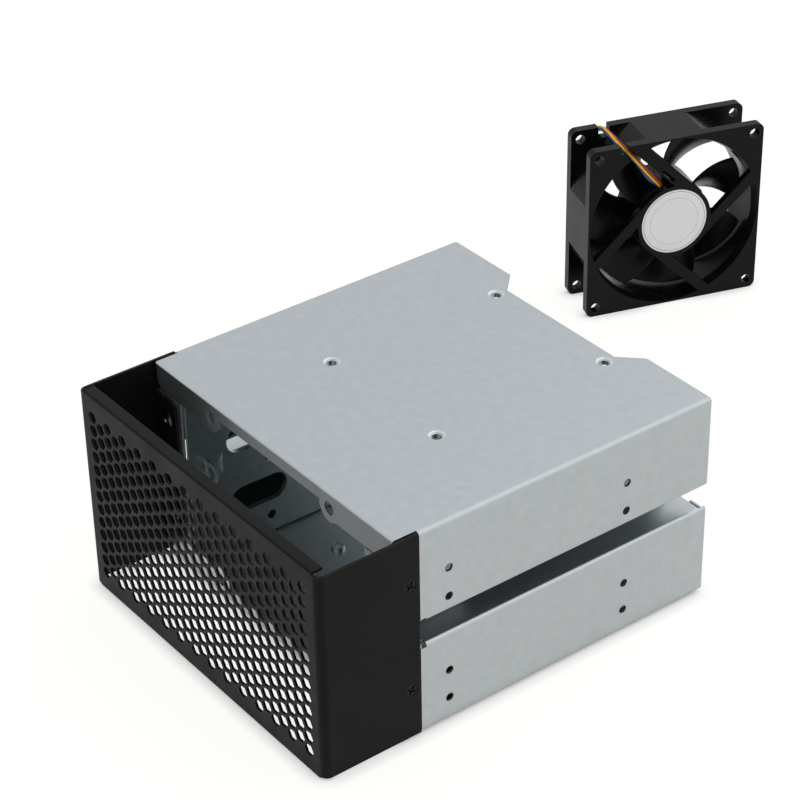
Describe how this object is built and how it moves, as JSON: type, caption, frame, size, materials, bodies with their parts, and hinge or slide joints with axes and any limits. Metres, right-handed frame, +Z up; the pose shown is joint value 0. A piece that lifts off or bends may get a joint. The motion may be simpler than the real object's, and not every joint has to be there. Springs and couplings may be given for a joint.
{
  "type": "hot swap drive cage",
  "caption": "Sheet-metal drive cage for a computer's front bays, with a perforated black bezel, drilled side bands and drive walls, and a loose axial fan with its lead.",
  "frame": {"origin": "middle of the cage's width, on the cage's underside, in the plane where the bezel meets the side bands", "axes": "+X to the user's right when facing the grille, +Y from the grille towards the rear, +Z up"},
  "size_m": [0.2208, 0.3622, 0.0864],
  "materials": {
    "zinc_sheet": "zinc-coated steel sheet with a fine cold-rolled texture, pale blue-grey, satin",
    "black_paint": "black powder coat, satin, fine grain",
    "black_screw": "black oxide on a countersunk screw, slight sheen",
    "rivet_aluminium": "bright aluminium blind rivet",
    "black_plastic": "moulded black thermoplastic, satin",
    "label_film": "pale silver-white film or nylon, plain and unprinted",
    "brass": "turned brass",
    "bearing_steel": "ground bearing steel",
    "lamination_steel": "grey electrical and pressed steel",
    "copper_wire": "enamelled copper wire",
    "board_laminate": "green glass-fibre circuit board",
    "magnet_ferrite": "dark grey bonded ferrite",
    "lead_insulation": "soft insulation on thin wires: red, black, yellow and blue",
    "connector_nylon": "black nylon connector housing"
  },
  "bodies": {
    "cage": {"lower_shell": "zinc_sheet", "upper_shell": "zinc_sheet", "right_drive_wall": "zinc_sheet", "left_drive_wall": "zinc_sheet", "front_bezel": "black_paint", "right_bezel_angle": "black_paint", "left_bezel_angle": "black_paint", "bezel_screws": "black_screw", "bezel_rivets": "rivet_aluminium", "fan_frame": "black_plastic", "hub_label": "label_film", "bearing_tube": "brass", "front_bearing": "bearing_steel", "rear_bearing": "bearing_steel", "bearing_spring": "bearing_steel", "stator_core": "lamination_steel", "stator_coils": "copper_wire", "driver_board": "board_laminate", "fan_lead": "lead_insulation", "lead_coil": "lead_insulation", "lead_plug": "connector_nylon"},
    "rotor": {"fan_impeller": "black_plastic", "rotor_cup": "lamination_steel", "rotor_magnet": "magnet_ferrite", "fan_shaft": "bearing_steel", "shaft_clip": "label_film"}
  },
  "joints": [
    {"name": "fan_spin", "type": "hinge", "parent": "cage", "child": "rotor", "pos_m": [-0.10187, 0.26793, 0.0388], "axis": [0.9494, -0.314, 0], "continuous": true}
  ]
}
